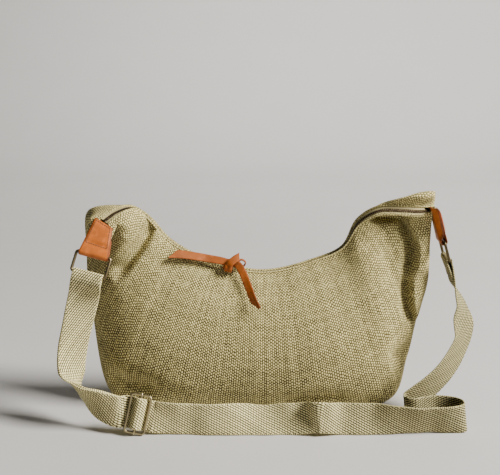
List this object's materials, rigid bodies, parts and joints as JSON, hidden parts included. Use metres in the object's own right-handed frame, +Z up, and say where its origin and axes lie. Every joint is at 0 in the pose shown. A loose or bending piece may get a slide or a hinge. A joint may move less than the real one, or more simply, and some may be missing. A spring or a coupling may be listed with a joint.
{
  "type": "canvas crescent shoulder bag",
  "caption": "Slouchy crescent shoulder bag of coarse canvas with a zipped mouth, a knotted leather zip pull, leather tabs with metal rings, and an adjustable webbing strap lying in front of it.",
  "frame": {"origin": "middle of the flat base on which the bag stands", "axes": "+X to the right ear along the bag's length, +Y to the back, +Z up; the strap lies on the -Y side"},
  "size_m": [0.5252, 0.1571, 0.2831],
  "materials": {
    "canvas": "coarse basket weave, matt sage beige",
    "webbing": "ribbed cotton webbing, pale sage beige",
    "zip_tape": "fine woven tape, sage beige",
    "leather": "smooth cognac leather, lightly waxed",
    "antique_brass": "antique brass, darkened",
    "zip_metal": "dark bronze zip teeth"
  },
  "bodies": {
    "root": {"front_panel": "canvas", "back_panel": "canvas", "zip_tape_front": "zip_tape", "zip_tape_back": "zip_tape", "zip_teeth": "zip_metal", "zip_slider": "antique_brass", "zip_pull": "leather", "left_tab": "leather", "right_tab": "leather", "left_ring": "antique_brass", "right_ring": "antique_brass", "strap": "webbing", "slide_buckle": "antique_brass"}
  },
  "joints": []
}
